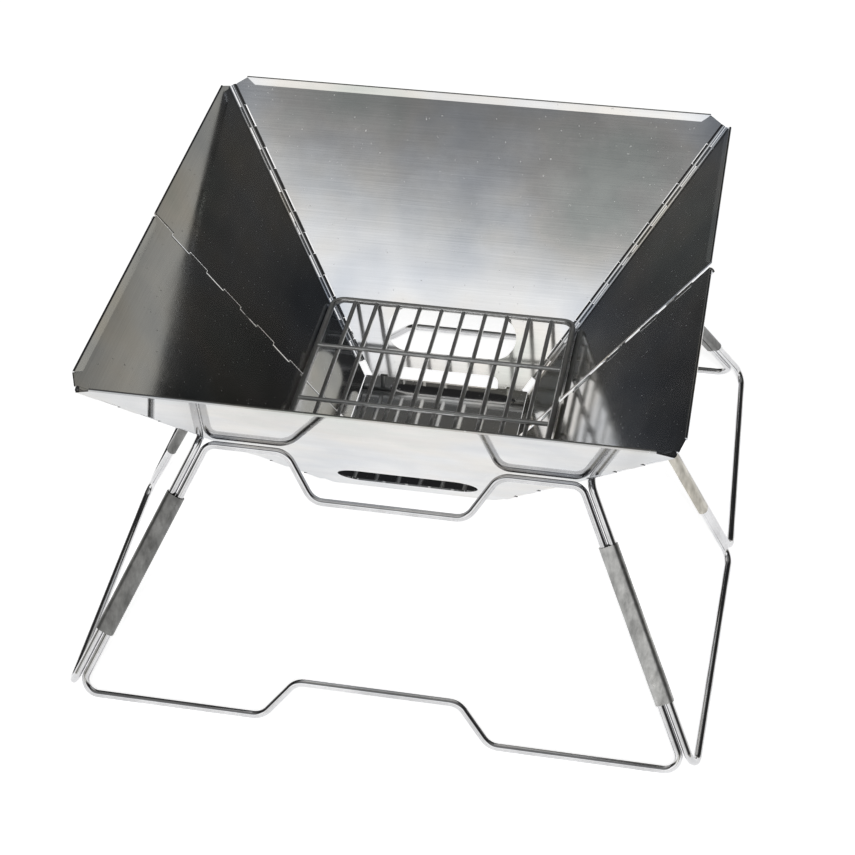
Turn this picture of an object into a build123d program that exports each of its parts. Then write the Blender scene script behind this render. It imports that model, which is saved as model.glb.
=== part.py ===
from build123d import *
import os
from math import acos, atan2, cos, hypot, sin, tan

# Folding camp grill, in millimetres. The origin is on the ground under the bowl's centre, +Z is up and
# the front faces -Y. The bowl is an inverted pyramid of hinged sheet panels; it sits in a stand of
# bent wire loops joined by sheet sleeves. Both have gusseted sides that fold inwards.

# Bowl: half sizes are of the sheets' middle surfaces, measured as if the rim's corners weren't clipped
RIM_HALF = 177.5
RIM_HEIGHT = 240.0
FOOT_HALF = 58.0
FOOT_HEIGHT = 81.0
SHEET = 1.0
RIM_CLIP_ALONG = 15.0
RIM_CLIP_DOWN = 9.0
HEM_WIDTH = 4.8
HEM_THICK = 0.9
HEM_LIP = 0.5
HEM_MITRE = 6.0

# Piano hinges
PIN_RADIUS = 0.9
BORE_RADIUS = 0.97
KNUCKLE_RADIUS = 1.9
AXIS_OFFSET = 1.7
EDGE_GAP = 2.4
TAB_REACH = 0.9
KNUCKLE_GAP = 0.35
CORNER_KNUCKLES = 13
CORNER_HINGE_START = 8.0
MID_KNUCKLES = 11
MID_HINGE_START = 12.0
OPEN_EDGE_GAP = 5.6
OPEN_TAB = 2.3

# Air slots, foot notch and floor plate
SLOT_LENGTH = 91.0
SLOT_HEIGHT = 30.0
SLOT_CENTRE = 33.0
NOTCH_LENGTH = 72.0
NOTCH_HEIGHT = 6.5
NOTCH_RADIUS = 5.0
PLATE_HALF = 57.2
PLATE_FRONT_GAP = 2.0
PLATE_FLANGE = 5.0
PLATE_KNUCKLE = 5.8
PLATE_KNUCKLE_START = 36.0
PLATE_AXIS_DROP = 2.0

# Charcoal grate
GRATE_HEIGHT = 122.0
GRATE_HALF_X = 84.6
GRATE_HALF_Y = 85.2
GRATE_CORNER = 8.0
FRAME_WIRE = 4.0
BAR_WIRE = 3.0
BARS = 10
CROSS_WIRE_OFFSETS = (-28.5, 28.5)
CROSS_WIRE_CLEAR = 1.8

# Stand
WIRE = 5.0
PAIR_SPACING = 5.4
STAND_TOP = 156.7
SIDE_TOP = 159.0
LEG_FOOT_HALF = 197.9
LEG_TOP_HALF = 119.4
MID_BOW = 5.8
OPEN_LEG_SHIFT = 0.9
WIRE_BEND = 9.0
STEP_BEND = 12.0
RISE_HEIGHT = 22.7
RISE_FOOT_HALF = 73.0
RISE_TOP_HALF = 52.0
DIP_DEPTH = 25.5
DIP_TOP_HALF = 66.0
DIP_FLOOR_HALF = 48.0

# Sleeves: folded sheet round the two wires of each leg
SLEEVE_WALL = 0.8
SLEEVE_CLEAR = 0.1
SLEEVE_FROM = 0.20
SLEEVE_TO = 0.75
SEAM_WIDTH = 0.7
SEAM_NOTCH = (2.2, 5.0)
OPEN_SLEEVE_FROM = -2.0

SLANT = hypot(RIM_HALF - FOOT_HALF, RIM_HEIGHT - FOOT_HEIGHT)
SLOPE = atan2(RIM_HEIGHT - FOOT_HEIGHT, RIM_HALF - FOOT_HALF)
EDGE_LEAN = atan2(RIM_HALF - FOOT_HALF, SLANT)
EDGE_LENGTH = hypot(RIM_HALF - FOOT_HALF, SLANT)
WALL_CORNER = acos(-cos(SLOPE) ** 2)
AXIS_INSET = AXIS_OFFSET / tan(WALL_CORNER / 2)
WIRE_RADIUS = WIRE / 2
HEM_NOSE = (SHEET + HEM_THICK) / 2
RIM = SLANT - HEM_NOSE

WALLS = {"front": 0, "right": 1, "back": 2, "left": 3}
OPEN_LEG = (1, 1)


# ---- Bowl panels, drawn flat: x along the wall, y up its slope, z outwards ----

def wall_plane(name):
    """The plane of one wall's middle surface, with its origin at the middle of the wall's foot."""
    front = Plane(origin=(0, -FOOT_HALF, FOOT_HEIGHT), x_dir=(1, 0, 0), z_dir=(0, -sin(SLOPE), -cos(SLOPE)))
    return Plane(Rot(0, 0, 90 * WALLS[name]) * front.location)


def edge_point(side, along, inset):
    """A point near a corner edge: distance along it from the foot, and inset square to it."""
    x = FOOT_HALF + along * sin(EDGE_LEAN) - inset * cos(EDGE_LEAN)
    return (side * x, along * cos(EDGE_LEAN) + inset * sin(EDGE_LEAN))


def corner_edge(side, top):
    """The sheet's outline beside a corner hinge, from the foot up to the clipped rim."""
    inset = AXIS_INSET + EDGE_GAP
    foot_along = -inset * tan(EDGE_LEAN)
    foot = edge_point(side, foot_along, inset)
    shoulder = edge_point(side, EDGE_LENGTH - RIM_CLIP_DOWN, inset)
    rim = (side * (RIM_HALF - RIM_CLIP_ALONG), top)
    return [foot, shoulder, rim]


def mid_edge(side, gap, top):
    """The sheet's outline beside a mid-side hinge."""
    return [(side * gap, 0), (side * gap, top)]


def sheet_between(left, right, thick=SHEET):
    outline = Polyline(*left, *reversed(right), close=True)
    return extrude(make_face(outline), amount=thick / 2, both=True)


def hem(left_x, right_x, inside):
    """The rim folded back on itself: a round nose, and a flap with mitred ends that thins downwards."""
    away = -1 if inside else 1
    low = RIM - HEM_WIDTH
    thick_at_rim, thick_at_lip = away * (SHEET / 2 + HEM_THICK), away * (SHEET / 2 + HEM_LIP)
    profile = Polyline((RIM, 0), (RIM, thick_at_rim), (low, thick_at_lip), (low, 0), close=True)
    across = Plane(origin=(left_x, 0, 0), x_dir=(0, 1, 0), z_dir=(1, 0, 0))
    flap = extrude(across * make_face(profile), amount=right_x - left_x, dir=(1, 0, 0))
    outline = Polyline(
        (left_x + HEM_MITRE, low), (right_x - HEM_MITRE, low), (right_x, RIM), (left_x, RIM), close=True)
    mitres = extrude(make_face(outline), amount=SHEET + HEM_THICK, both=True)
    flap = flap & mitres
    nose = Cylinder(HEM_NOSE, right_x - left_x)
    return flap + Pos((left_x + right_x) / 2, RIM, away * HEM_THICK / 2) * Rot(0, 90, 0) * nose


def knuckle(frame, start, length, tab_from, sheet_side):
    """One rolled knuckle with its tab. The frame's x runs along the hinge and its y into the sheet."""
    middle = start + length / 2
    width = length - KNUCKLE_GAP
    axis = frame * Pos(middle, 0, sheet_side * -AXIS_OFFSET) * Rot(0, 90, 0)
    tube = axis * Cylinder(KNUCKLE_RADIUS, width)
    tab = frame * Pos(middle, (tab_from - TAB_REACH) / 2, 0) * Box(width, tab_from + TAB_REACH, SHEET)
    return tube + tab


def hinge_bore(frame, start, length, sheet_side):
    bore = Cylinder(BORE_RADIUS, length + WIRE)
    return frame * Pos(start + length / 2, 0, sheet_side * -AXIS_OFFSET) * Rot(0, 90, 0) * bore


def corner_frame(side):
    """In a wall's plane, the frame whose x lies along the corner hinge's axis."""
    x, y = edge_point(side, 0, AXIS_INSET)
    return Plane(origin=(x, y, 0), x_dir=(side * sin(EDGE_LEAN), cos(EDGE_LEAN), 0),
                 z_dir=(0, 0, side))


def mid_frame(side):
    """The same for the hinge in the middle of a side wall, with y pointing into the half on that side."""
    return Plane(origin=(0, 0, 0), x_dir=(0, 1, 0), z_dir=(0, 0, -side))


CORNER_HINGE_LENGTH = EDGE_LENGTH - RIM_CLIP_DOWN - CORNER_HINGE_START
MID_HINGE_LENGTH = SLANT - MID_HINGE_START - 1.0


def hinged(panel, frame, start, length, count, owned, axis_side, reach=EDGE_GAP):
    """Adds a panel's own knuckles to it, every other one, and bores them."""
    pitch = length / count
    for index in range(owned, count, 2):
        panel += knuckle(frame, start + index * pitch, pitch, reach + SHEET, axis_side)
    return panel - hinge_bore(frame, start, length, axis_side)


def corner_hinged(panel, side, owned):
    """Corner knuckles stand on the inside of the bowl."""
    frame = corner_frame(side)
    return hinged(panel, frame, CORNER_HINGE_START, CORNER_HINGE_LENGTH, CORNER_KNUCKLES, owned, side)


def mid_hinged(panel, side, owned, reach=EDGE_GAP):
    """Mid-side knuckles stand on the outside of the bowl."""
    frame = mid_frame(side)
    return hinged(panel, frame, MID_HINGE_START, MID_HINGE_LENGTH, MID_KNUCKLES, owned, side, reach)


def air_slot():
    return Pos(0, SLOT_CENTRE, 0) * extrude(SlotOverall(SLOT_LENGTH, SLOT_HEIGHT), amount=SHEET, both=True)


def full_panel():
    """The front or back panel: hemmed, slotted, with the even corner knuckles on both edges."""
    rim_half = RIM_HALF - RIM_CLIP_ALONG
    panel = sheet_between(corner_edge(-1, RIM), corner_edge(1, RIM))
    panel += hem(-rim_half, rim_half, True)
    for side in (-1, 1):
        panel = corner_hinged(panel, side, 0)
    return panel - air_slot()


def half_panel(side, mid_gap, mid_owned, hem_inside):
    """Half of a side wall, on the given side of the wall's middle."""
    panel = sheet_between(mid_edge(side, mid_gap, RIM), corner_edge(side, RIM))
    ends = sorted((side * mid_gap, side * (RIM_HALF - RIM_CLIP_ALONG)))
    panel += hem(ends[0], ends[1], hem_inside)
    panel = corner_hinged(panel, side, 1)
    if mid_owned is not None:
        panel = mid_hinged(panel, side, mid_owned)
    return panel


def loose_mid_knuckles(side, owned):
    """The knuckles of the half panel at the open pivot, cut free of that panel's sheet."""
    pitch = MID_HINGE_LENGTH / MID_KNUCKLES
    pieces = []
    for index in range(owned, MID_KNUCKLES, 2):
        piece = knuckle(mid_frame(side), MID_HINGE_START + index * pitch, pitch, OPEN_TAB, side)
        pieces.append(piece - hinge_bore(mid_frame(side), MID_HINGE_START, MID_HINGE_LENGTH, side))
    return pieces


def plate_axis_local():
    """The floor plate's hinge axis in the back wall's plane: up the slope, and outwards."""
    return (-PLATE_AXIS_DROP, AXIS_OFFSET)


def back_foot(panel):
    """Cuts the notch in the back panel's foot and adds its knuckles for the floor plate."""
    notch = Box(NOTCH_LENGTH, 2 * NOTCH_HEIGHT, 3 * SHEET)
    notch = fillet(notch.edges().filter_by(Axis.Z), NOTCH_RADIUS)
    panel = panel - notch
    drop, out = plate_axis_local()
    width = PLATE_KNUCKLE - KNUCKLE_GAP
    bores = []
    for side in (-1, 1):
        for index in (0, 2):
            x = side * (PLATE_KNUCKLE_START + (index + 0.5) * PLATE_KNUCKLE)
            tube = Pos(x, drop, out) * Rot(0, 90, 0) * Cylinder(KNUCKLE_RADIUS, width)
            low = drop - TAB_REACH
            tab = Pos(x, (SHEET + low) / 2, 0) * Box(width, SHEET - low, SHEET)
            panel += tube + tab
    return panel - Pos(0, drop, out) * Rot(0, 90, 0) * Cylinder(BORE_RADIUS, 2 * RIM_HALF)


def plate_axis():
    """The floor plate's hinge axis in the grill's frame, as y and z."""
    drop, out = plate_axis_local()
    y = FOOT_HALF + drop * cos(SLOPE) + out * sin(SLOPE)
    z = FOOT_HEIGHT + drop * sin(SLOPE) - out * cos(SLOPE)
    return y, z


def floor_plate():
    """A flat plate with down-turned sides, hinged under the back panel's foot."""
    y, z = plate_axis()
    middle = z + AXIS_OFFSET
    front = -(FOOT_HALF - PLATE_FRONT_GAP)
    rear = y - EDGE_GAP
    centre = (front + rear) / 2
    plate = Pos(0, centre, middle) * Box(2 * PLATE_HALF, rear - front, SHEET)
    width = PLATE_KNUCKLE - KNUCKLE_GAP
    tab_start, tab_end = rear - SHEET, y + TAB_REACH
    for side in (-1, 1):
        flange = Box(SHEET, rear - front - 2 * PLATE_FLANGE, PLATE_FLANGE)
        flange_height = middle + SHEET / 2 - PLATE_FLANGE / 2
        plate += Pos(side * (PLATE_HALF - SHEET / 2), centre, flange_height) * flange
        x = side * (PLATE_KNUCKLE_START + 1.5 * PLATE_KNUCKLE)
        plate += Pos(x, y, z) * Rot(0, 90, 0) * Cylinder(KNUCKLE_RADIUS, width)
        plate += Pos(x, (tab_start + tab_end) / 2, middle) * Box(width, tab_end - tab_start, SHEET)
    return plate - Pos(0, y, z) * Rot(0, 90, 0) * Cylinder(BORE_RADIUS, 2 * RIM_HALF)


def floor_pins():
    y, z = plate_axis()
    length = 3 * PLATE_KNUCKLE
    x = PLATE_KNUCKLE_START + length / 2
    return [Pos(side * x, y, z) * Rot(0, 90, 0) * Cylinder(PIN_RADIUS, length) for side in (-1, 1)]


def corner_pin(side):
    pin = Cylinder(PIN_RADIUS, CORNER_HINGE_LENGTH)
    middle = CORNER_HINGE_START + CORNER_HINGE_LENGTH / 2
    return corner_frame(side) * Pos(middle, 0, side * -AXIS_OFFSET) * Rot(0, 90, 0) * pin


def mid_pin():
    pin = Cylinder(PIN_RADIUS, MID_HINGE_LENGTH)
    middle = MID_HINGE_START + MID_HINGE_LENGTH / 2
    return mid_frame(1) * Pos(middle, 0, -AXIS_OFFSET) * Rot(0, 90, 0) * pin


# ---- Bent wires ----

def rounded_path(points, bends):
    """A closed path from its first point, rounded at all the others."""
    edges = []
    here = Vector(*points[0])
    count = len(points)
    for index in range(1, count):
        corner = Vector(*points[index])
        after = Vector(*points[(index + 1) % count])
        into = (corner - Vector(*points[index - 1])).normalized()
        out = (after - corner).normalized()
        turn = acos(max(-1.0, min(1.0, into.dot(out))))
        cut = bends[index - 1] * tan(turn / 2)
        start, end = corner - into * cut, corner + out * cut
        edges.append(Line(here, start))
        edges.append(TangentArc(start, end, tangent=into))
        here = end
    edges.append(Line(here, Vector(*points[0])))
    return Wire(edges)


def round_wire(path, diameter):
    start = Plane(origin=path @ 0, z_dir=path % 0)
    return sweep(start * Circle(diameter / 2), path=path)


# ---- Charcoal grate ----

def grate_frame():
    x, y = GRATE_HALF_X, GRATE_HALF_Y
    path = rounded_path([(0, -y), (x, -y), (x, y), (-x, y), (-x, -y)], [GRATE_CORNER] * 4)
    return Pos(0, 0, GRATE_HEIGHT) * round_wire(path, FRAME_WIRE)


def grate_bars():
    spacing = 2 * GRATE_HALF_X / (BARS + 1)
    length = 2 * GRATE_HALF_Y - FRAME_WIRE
    bar = Rot(90, 0, 0) * Cylinder(BAR_WIRE / 2, length)
    first = -GRATE_HALF_X + spacing
    return [Pos(first + index * spacing, 0, GRATE_HEIGHT) * bar for index in range(BARS)]


def grate_cross_wires():
    length = 2 * (GRATE_HALF_X - CROSS_WIRE_CLEAR)
    wire = Rot(0, 90, 0) * Cylinder(BAR_WIRE / 2, length)
    return [Pos(0, y, GRATE_HEIGHT + BAR_WIRE) * wire for y in CROSS_WIRE_OFFSETS]


# ---- Stand ----

def leg_line(side_x, side_y):
    """A corner leg's centre line, between its two wires: the point at foot level, and its direction up."""
    foot = Vector(side_x * LEG_FOOT_HALF, side_y * LEG_FOOT_HALF, WIRE_RADIUS)
    top = Vector(side_x * LEG_TOP_HALF, side_y * LEG_TOP_HALF, STAND_TOP)
    return foot, (top - foot).normalized()


def pair_direction(side_x, side_y):
    """Across a corner leg, in the full loop's plane, from its own wire out to the half loop's."""
    _, up = leg_line(side_x, side_y)
    across = Vector(side_x, 0, 0)
    return (across - up * across.dot(up)).normalized()


def full_wire(side_x, side_y):
    """The front or back loop's wire in a corner leg, as a point at foot level and a direction."""
    foot, up = leg_line(side_x, side_y)
    return at_height(foot - pair_direction(side_x, side_y) * (PAIR_SPACING / 2), up, WIRE_RADIUS), up


def half_wire(side_x, side_y):
    """The half loop's wire in a corner leg."""
    foot, up = leg_line(side_x, side_y)
    return at_height(foot + pair_direction(side_x, side_y) * (PAIR_SPACING / 2), up, WIRE_RADIUS), up


def at_height(point, direction, height):
    return point + direction * ((height - point.Z) / direction.Z)


def mid_wire(side_x, side_y):
    """A half loop's wire in the leg in the middle of a side: a point at foot level and a direction up."""
    corner, up = half_wire(side_x, side_y)
    y = side_y * PAIR_SPACING / 2
    if (side_x, side_y) == OPEN_LEG:
        y += OPEN_LEG_SHIFT
    foot = Vector(corner.X + side_x * MID_BOW, y, WIRE_RADIUS)
    normal = up.cross(foot - corner)
    direction = normal.cross(Vector(0, 1, 0)).normalized()
    if direction.Z < 0:
        direction = direction * -1
    return foot, direction


def wire_loop(corners, bends):
    """A closed loop of bent wire through coplanar corners, with a bend radius at each."""
    first = (corners[0] + corners[-1]) * 0.5
    plane = Plane(origin=first, x_dir=(corners[0] - first).normalized(),
                  z_dir=(corners[0] - first).cross(corners[1] - first))
    flat = [plane.to_local_coords(point) for point in corners]
    points = [(0, 0)] + [(point.X, point.Y) for point in flat]
    return plane.location * round_wire(rounded_path(points, bends), WIRE)


def full_loop(side_y):
    """The front or back loop, with its lower rail stepped up and its upper rail dipped in the middle."""
    left, up = full_wire(-1, side_y)
    right, up_right = full_wire(1, side_y)

    def on_loop(x, height):
        edge = at_height(right, up_right, height)
        return Vector(x, edge.Y, height)

    rise = WIRE_RADIUS + RISE_HEIGHT
    dip = STAND_TOP - DIP_DEPTH
    corners = [
        on_loop(RISE_TOP_HALF, rise), on_loop(RISE_FOOT_HALF, WIRE_RADIUS), right,
        at_height(right, up_right, STAND_TOP),
        on_loop(DIP_TOP_HALF, STAND_TOP), on_loop(DIP_FLOOR_HALF, dip),
        on_loop(-DIP_FLOOR_HALF, dip), on_loop(-DIP_TOP_HALF, STAND_TOP),
        at_height(left, up, STAND_TOP),
        left, on_loop(-RISE_FOOT_HALF, WIRE_RADIUS), on_loop(-RISE_TOP_HALF, rise)]
    step = [STEP_BEND, STEP_BEND]
    leg = [WIRE_BEND, WIRE_BEND]
    return wire_loop(corners, step + leg + step + step + leg + step)


def half_loop(side_x, side_y):
    """A side half loop: a plain four-sided loop between a corner leg and the mid leg."""
    corner, up = half_wire(side_x, side_y)
    middle, rise = mid_wire(side_x, side_y)
    corners = [corner, at_height(corner, up, SIDE_TOP), at_height(middle, rise, SIDE_TOP), middle]
    return wire_loop(corners, [WIRE_BEND] * 4)


def sleeve(foot, up, across, top, open_end=False):
    """A sheet folded round a pair of wires, with its seam on the inner face and a notch half way."""
    low = at_height(foot, up, WIRE_RADIUS)
    high = at_height(foot, up, top)
    start = high + (low - high) * SLEEVE_TO
    length = (high - low).length * (SLEEVE_TO - SLEEVE_FROM)
    inner = WIRE + 2 * SLEEVE_CLEAR
    outer = inner + 2 * SLEEVE_WALL
    frame = Plane(origin=start, x_dir=across, z_dir=up)
    profile = SlotOverall(PAIR_SPACING + outer, outer) - SlotOverall(PAIR_SPACING + inner, inner)
    body = extrude(profile, amount=length)
    inward = 1 if (frame.y_dir.X * start.X + frame.y_dir.Y * start.Y) < 0 else -1
    if open_end:
        mouth = Pos(PAIR_SPACING / 2 + OPEN_SLEEVE_FROM + outer / 2, 0, length / 2)
        body -= mouth * Box(outer, outer, length + WIRE)
    else:
        body -= Pos(0, inward * outer / 2, length / 2) * Box(SEAM_WIDTH, outer / 2, length + WIRE)
        body -= Pos(0, inward * outer / 2, length / 2) * Box(SEAM_NOTCH[0], outer / 2, SEAM_NOTCH[1])
    return frame.location * body


def corner_sleeve(side_x, side_y):
    foot, up = leg_line(side_x, side_y)
    return sleeve(foot, up, pair_direction(side_x, side_y), STAND_TOP)


def mid_sleeve(side_x, open_end):
    foot, up = mid_wire(side_x, -1)
    return sleeve(Vector(foot.X, 0, foot.Z), up, Vector(0, 1, 0), SIDE_TOP, open_end)


# ---- Assembly ----

def bowl_nodes():
    front, back = wall_plane("front").location, wall_plane("back").location
    left, right = wall_plane("left").location, wall_plane("right").location
    return {
        "front_panel": front * full_panel(),
        "back_panel": back * back_foot(full_panel()),
        "left_front_panel": left * half_panel(1, EDGE_GAP, 0, True),
        "left_back_panel": left * half_panel(-1, EDGE_GAP, 1, False),
        "right_front_panel": right * half_panel(-1, EDGE_GAP, 0, False),
        "right_back_panel": right * half_panel(1, OPEN_EDGE_GAP, None, True),
        "right_mid_knuckles": [right * piece for piece in loose_mid_knuckles(1, 1)],
        "hinge_pin_front_left": front * corner_pin(-1),
        "hinge_pin_front_right": front * corner_pin(1),
        "hinge_pin_back_right": back * corner_pin(-1),
        "hinge_pin_back_left": back * corner_pin(1),
        "hinge_pin_left": left * mid_pin(),
        "hinge_pin_right": right * mid_pin(),
        "floor_plate": floor_plate(),
        "floor_hinge_pins": floor_pins(),
    }


def grate_nodes():
    return {
        "grate_frame": grate_frame(),
        "grate_bars": grate_bars(),
        "grate_cross_wires": grate_cross_wires(),
    }


def stand_nodes():
    return {
        "stand_front_loop": full_loop(-1),
        "stand_back_loop": full_loop(1),
        "stand_left_front_loop": half_loop(-1, -1),
        "stand_left_back_loop": half_loop(-1, 1),
        "stand_right_front_loop": half_loop(1, -1),
        "stand_right_back_loop": half_loop(1, 1),
        "sleeve_front_left": corner_sleeve(-1, -1),
        "sleeve_front_right": corner_sleeve(1, -1),
        "sleeve_back_left": corner_sleeve(-1, 1),
        "sleeve_back_right": corner_sleeve(1, 1),
        "sleeve_mid_left": mid_sleeve(-1, False),
        "sleeve_mid_right": mid_sleeve(1, True),
    }


def main():
    os.makedirs("parts", exist_ok=True)
    nodes = {**bowl_nodes(), **grate_nodes(), **stand_nodes()}
    for name, shape in nodes.items():
        if isinstance(shape, list):
            shape = Compound(children=shape)
        export_step(shape, f"parts/{name}.step")


main()
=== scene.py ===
import bpy
from math import radians
from mathutils import Matrix, Vector

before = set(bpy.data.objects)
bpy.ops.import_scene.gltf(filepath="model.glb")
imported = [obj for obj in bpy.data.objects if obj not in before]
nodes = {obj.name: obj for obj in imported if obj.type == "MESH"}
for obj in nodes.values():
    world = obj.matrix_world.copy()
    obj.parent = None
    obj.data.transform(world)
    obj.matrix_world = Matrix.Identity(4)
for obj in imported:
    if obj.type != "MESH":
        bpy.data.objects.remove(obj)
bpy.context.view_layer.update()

# The floor, the lamp, the bright panel's direction and cosines, and the camera
FLOOR_HALF = 6.0
FLOOR_ALBEDO = 0.8
FLOOR_GLOW = 0.80
LAMP_STRENGTH = 0.8
LAMP_SPREAD = radians(7)
PANEL_TOWARDS = (-0.15, -0.80, 0.58)
PANEL_EDGE = 0.80
PANEL_FULL = 0.91
LOOK = Vector((-0.1581, 0.7465, -0.6463))
CAMERA_RIGHT = Vector((0.9816, 0.1900, -0.0207))
CAMERA_AT = Vector((0.211, -1.008, 0.959))
FOCAL_LENGTH = 84.24
SENSOR_WIDTH = 36.0

# ---- Materials ----


def new_material(name):
    mat = bpy.data.materials.new(name)
    mat.use_nodes = True
    tree = mat.node_tree
    shader = tree.nodes["Principled BSDF"]
    shader.inputs["Metallic"].default_value = 1.0
    return mat, tree, shader


def link(tree, a, b):
    tree.links.new(a, b)


def coordinates(tree, scale):
    coord = tree.nodes.new("ShaderNodeTexCoord")
    mapping = tree.nodes.new("ShaderNodeMapping")
    mapping.inputs["Scale"].default_value = scale
    link(tree, coord.outputs["Object"], mapping.inputs["Vector"])
    return mapping.outputs["Vector"]


def noise(tree, scale, size, detail=4.0, rough=0.55):
    node = tree.nodes.new("ShaderNodeTexNoise")
    node.inputs["Scale"].default_value = size
    node.inputs["Detail"].default_value = detail
    node.inputs["Roughness"].default_value = rough
    link(tree, coordinates(tree, scale), node.inputs["Vector"])
    return node.outputs["Fac"]


def ramp(tree, source, stops):
    node = tree.nodes.new("ShaderNodeValToRGB")
    elements = node.color_ramp.elements
    while len(elements) < len(stops):
        elements.new(0.5)
    for element, (place, value) in zip(elements, stops):
        element.position = place
        element.color = (*value, 1.0) if isinstance(value, tuple) else (value, value, value, 1.0)
    link(tree, source, node.inputs["Fac"])
    return node.outputs["Color"]


def mix(tree, kind, amount, a, b):
    node = tree.nodes.new("ShaderNodeMix")
    node.data_type = "RGBA"
    node.blend_type = kind
    node.inputs["Factor"].default_value = amount
    link(tree, a, node.inputs[6])
    link(tree, b, node.inputs[7])
    return node.outputs[2]


def bump(tree, shader, layers):
    """Stacks height fields, each (source, strength, distance), into the shader's normal."""
    last = None
    for source, strength, distance in layers:
        node = tree.nodes.new("ShaderNodeBump")
        node.inputs["Strength"].default_value = strength
        node.inputs["Distance"].default_value = distance
        link(tree, source, node.inputs["Height"])
        if last:
            link(tree, last, node.inputs["Normal"])
        last = node.outputs["Normal"]
    link(tree, last, shader.inputs["Normal"])


def sheet_steel(name, along, polish=1.0, tint=1.0):
    """Bright rolled sheet: fine grain along one axis, smears, faint heat tint, specks and slight waviness."""
    mat, tree, shader = new_material(name)
    grain_scale = tuple(0.02 if axis == along else 1.0 for axis in "xyz")
    grain = noise(tree, grain_scale, 900.0, 3.0)
    streak = noise(tree, tuple(0.06 if axis == along else 1.0 for axis in "xyz"), 60.0, 5.0)
    smear = noise(tree, (1, 1, 1), 14.0, 5.0, 0.6)
    specks = noise(tree, (1, 1, 1), 420.0, 2.0)
    waves = noise(tree, (1, 1, 1), 5.0, 1.0)
    # tint scales the whole colour evenly; a tint below 1 is painted shade
    dim = (0.66 * tint, 0.665 * tint, 0.67 * tint)
    bright = (0.73 * tint, 0.735 * tint, 0.74 * tint)
    tone = mix(tree, "MULTIPLY", 1.0, ramp(tree, streak, [(0.3, dim), (0.7, bright)]),
               ramp(tree, smear, [(0.35, 0.86), (0.62, 1.0)]))
    cloud = noise(tree, (1, 1, 1), 8.0, 3.0)
    tone = mix(tree, "MULTIPLY", 1.0, tone, ramp(tree, cloud, [
        (0.34, (0.80, 0.83, 0.88)), (0.46, (1.0, 1.0, 1.0)),
        (0.55, (1.04, 1.0, 0.94)), (0.66, (0.90, 0.92, 0.86))]))
    tone = mix(tree, "MULTIPLY", 1.0, tone, ramp(tree, grain, [(0.3, 0.95), (0.7, 1.0)]))
    tone = mix(tree, "SCREEN", 0.5, tone, ramp(tree, specks, [(0.725, 0.0), (0.755, 1.0)]))
    link(tree, tone, shader.inputs["Base Color"])
    link(tree, mix(tree, "ADD", 0.6, ramp(tree, smear, [(0.3, 0.06 * polish), (0.7, 0.13 * polish)]),
                   ramp(tree, specks, [(0.71, 0.0), (0.75, 0.5)])), shader.inputs["Roughness"])
    bump(tree, shader, [(waves, 0.25, 0.004), (grain, 0.025, 0.0002)])
    return mat


def wire_steel(name, low, high, rough):
    """Drawn and plated wire: bright, with faint draw lines and dull patches."""
    mat, tree, shader = new_material(name)
    patches = noise(tree, (1, 1, 1), 45.0, 4.0, 0.6)
    lines = noise(tree, (1, 1, 1), 700.0, 2.0)
    tone = mix(tree, "MULTIPLY", 1.0, ramp(tree, patches, [(0.3, low), (0.7, high)]),
               ramp(tree, lines, [(0.3, 0.92), (0.7, 1.0)]))
    link(tree, tone, shader.inputs["Base Color"])
    link(tree, ramp(tree, patches, [(0.3, rough * 1.6), (0.7, rough)]), shader.inputs["Roughness"])
    bump(tree, shader, [(lines, 0.06, 0.0002)])
    return mat


def sleeve_steel(name, low, high):
    """Dull folded sheet with lengthwise streaks, brushing and rubbed patches."""
    mat, tree, shader = new_material(name)
    patches = noise(tree, (1, 1, 1), 38.0, 5.0, 0.65)
    streaks = noise(tree, (1.0, 1.0, 0.12), 150.0, 4.0, 0.6)
    brush = noise(tree, (1.0, 1.0, 0.15), 520.0, 3.0)
    tone = mix(tree, "MULTIPLY", 1.0, ramp(tree, patches, [(0.3, low), (0.7, high)]),
               ramp(tree, streaks, [(0.36, 0.62), (0.6, 1.0)]))
    tone = mix(tree, "MULTIPLY", 1.0, tone, ramp(tree, brush, [(0.3, 0.80), (0.7, 1.0)]))
    link(tree, tone, shader.inputs["Base Color"])
    link(tree, ramp(tree, patches, [(0.3, 0.40), (0.7, 0.24)]), shader.inputs["Roughness"])
    bump(tree, shader, [(brush, 0.12, 0.0002), (patches, 0.2, 0.0006)])
    return mat


sheet_x = sheet_steel("panel_steel_x", "x")
sheet_y = sheet_steel("panel_steel_y", "y")
chrome = wire_steel("wire_chrome", (0.54, 0.54, 0.55), (0.74, 0.74, 0.75), 0.07)
# Front panel: the same sheet steel with its colour darkened (tint 0.76), a painted shade copy for how light
# falls on the front panel
sheet_front_shaded = sheet_steel("panel_steel_front_shaded", "x", 0.45, 0.76)
sheet_floor = sheet_steel("panel_steel_floor", "x", 0.6)
grate_wire = wire_steel("grate_chrome", (0.70, 0.70, 0.69), (0.86, 0.86, 0.85), 0.26)
pin_steel = wire_steel("hinge_steel", (0.58, 0.585, 0.59), (0.76, 0.76, 0.77), 0.12)
# The sleeves are one steel in three copies whose colours differ only for light: the darkest copy is painted
# shade
dull = sleeve_steel("sleeve_steel", (0.17, 0.17, 0.165), (0.30, 0.30, 0.295))
# Lighter copy of the same sleeve steel, painted light for the front-right sleeve
sleeve_lit_copy = sleeve_steel("sleeve_steel_painted_lit", (0.36, 0.36, 0.355), (0.62, 0.62, 0.61))
# Lighter, warm-toned copy of the same sleeve steel, painted light for the mid-right sleeve
sleeve_lit_warm_copy = sleeve_steel("sleeve_steel_painted_lit_warm", (0.52, 0.49, 0.43), (0.74, 0.71, 0.64))


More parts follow.
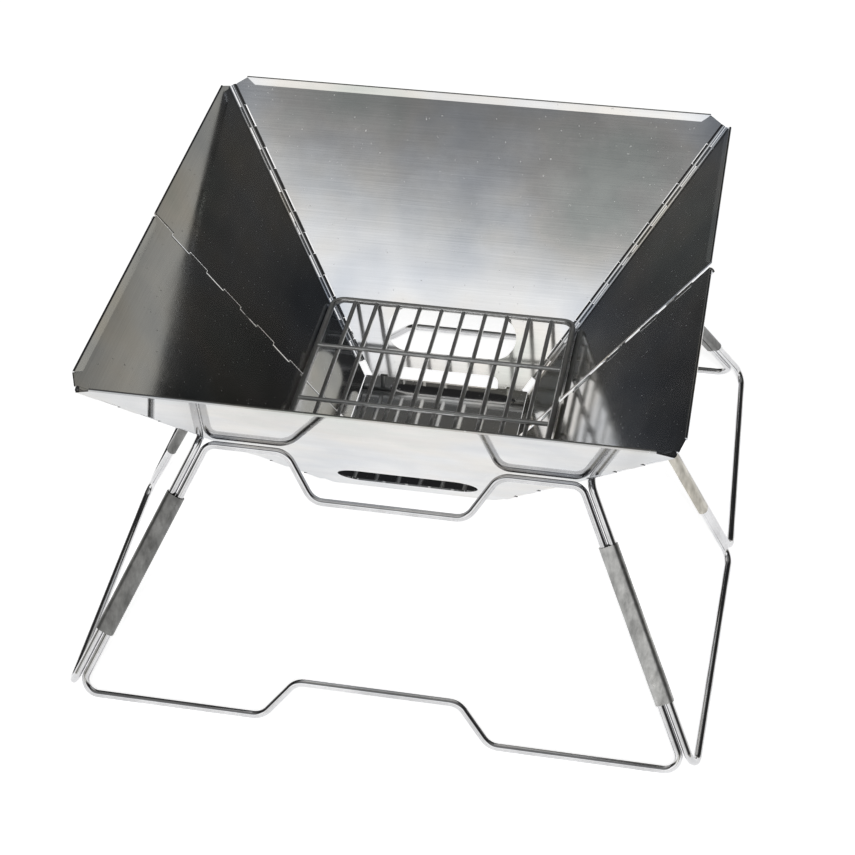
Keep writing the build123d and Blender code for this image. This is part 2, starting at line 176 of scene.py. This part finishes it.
def material_for(name):
    if name == "floor_plate":
        return sheet_floor
    if name == "front_panel":
        return sheet_front_shaded
    if name == "back_panel":
        return sheet_x
    if name.endswith("_panel"):
        return sheet_y
    # Sleeves get painted lit or shaded copies of one steel
    if name == "sleeve_front_right":
        return sleeve_lit_copy
    if name == "sleeve_mid_right":
        return sleeve_lit_warm_copy
    if name.startswith("sleeve"):
        return dull
    if name.startswith("stand"):
        return chrome
    if name.startswith("grate"):
        return grate_wire
    return pin_steel


for name, obj in nodes.items():
    obj.data.materials.clear()
    obj.data.materials.append(material_for(name))

# ---- Floor ----

floor_mesh = bpy.data.meshes.new("floor")
corners = [(x * FLOOR_HALF, y * FLOOR_HALF, 0) for x, y in ((-1, -1), (1, -1), (1, 1), (-1, 1))]
floor_mesh.from_pydata(corners, [], [(0, 1, 2, 3)])
floor = bpy.data.objects.new("floor", floor_mesh)
bpy.context.collection.objects.link(floor)
paper = bpy.data.materials.new("floor_paper")
paper.use_nodes = True
paper_shader = paper.node_tree.nodes["Principled BSDF"]
paper_shader.inputs["Base Color"].default_value = (FLOOR_ALBEDO, FLOOR_ALBEDO, FLOOR_ALBEDO, 1.0)
paper_shader.inputs["Roughness"].default_value = 0.9
paper_shader.inputs["Emission Color"].default_value = (1.0, 1.0, 1.0, 1.0)
paper_shader.inputs["Emission Strength"].default_value = FLOOR_GLOW
floor_mesh.materials.append(paper)

# ---- Light: a dark room with a pale horizon and one large soft panel above the front ----

world = bpy.data.worlds.new("room")
bpy.context.scene.world = world
world.use_nodes = True
sky = world.node_tree
direction = sky.nodes.new("ShaderNodeTexCoord").outputs["Generated"]
split = sky.nodes.new("ShaderNodeSeparateXYZ")
link(sky, direction, split.inputs["Vector"])


def patch(towards, edge, full):
    """1 within a cone round a direction, falling softly to 0."""
    dot = sky.nodes.new("ShaderNodeVectorMath")
    dot.operation = "DOT_PRODUCT"
    link(sky, direction, dot.inputs[0])
    dot.inputs[1].default_value = Vector(towards).normalized()
    return ramp(sky, dot.outputs["Value"], [(edge, 0.0), (full, 1.0)])


def add_light(base, amount, colour):
    return mix(sky, "ADD", 1.0, base, mix(sky, "MULTIPLY", 1.0, amount, colour))


room = ramp(sky, split.outputs["Z"], [
    (0.0, (0.46, 0.45, 0.41)), (0.11, (0.43, 0.42, 0.385)), (0.18, (0.05, 0.05, 0.05)),
    (0.7, (0.02, 0.02, 0.021)),
    (0.86, (0.13, 0.13, 0.127)), (1.0, (0.20, 0.20, 0.195))])
panel = ramp(sky, split.outputs["Z"], [
    (0.40, (1.2, 1.2, 1.2)), (0.595, (1.3, 1.3, 1.3)),
    (0.622, (0.62, 0.64, 0.66)), (0.645, (0.34, 0.35, 0.365)),
    (0.68, (0.17, 0.174, 0.18))])
light = add_light(room, patch(PANEL_TOWARDS, PANEL_EDGE, PANEL_FULL), panel)
background = sky.nodes["Background"]
link(sky, light, background.inputs["Color"])
background.inputs["Strength"].default_value = 1.0


# Lights the floor from over the camera's shoulder; the steel sees only the room and the floor
lamp_data = bpy.data.lights.new("studio_lamp", "SUN")
lamp_data.energy = LAMP_STRENGTH
lamp_data.angle = LAMP_SPREAD
lamp = bpy.data.objects.new("studio_lamp", lamp_data)
bpy.context.collection.objects.link(lamp)
lamp.rotation_euler = LOOK.to_track_quat("-Z", "Y").to_euler()
lamp.visible_glossy = False

# ---- Camera ----

cam_data = bpy.data.cameras.new("camera")
cam_data.sensor_width = SENSOR_WIDTH
cam_data.lens = FOCAL_LENGTH
camera = bpy.data.objects.new("camera", cam_data)
bpy.context.collection.objects.link(camera)
right = CAMERA_RIGHT.normalized()
look = LOOK.normalized()
right = (right - look * right.dot(look)).normalized()
up = right.cross(look)
turn = Matrix((right, up, -look)).transposed().to_4x4()
camera.matrix_world = Matrix.Translation(CAMERA_AT) @ turn
bpy.context.scene.camera = camera
bpy.context.scene.view_settings.view_transform = "Standard"
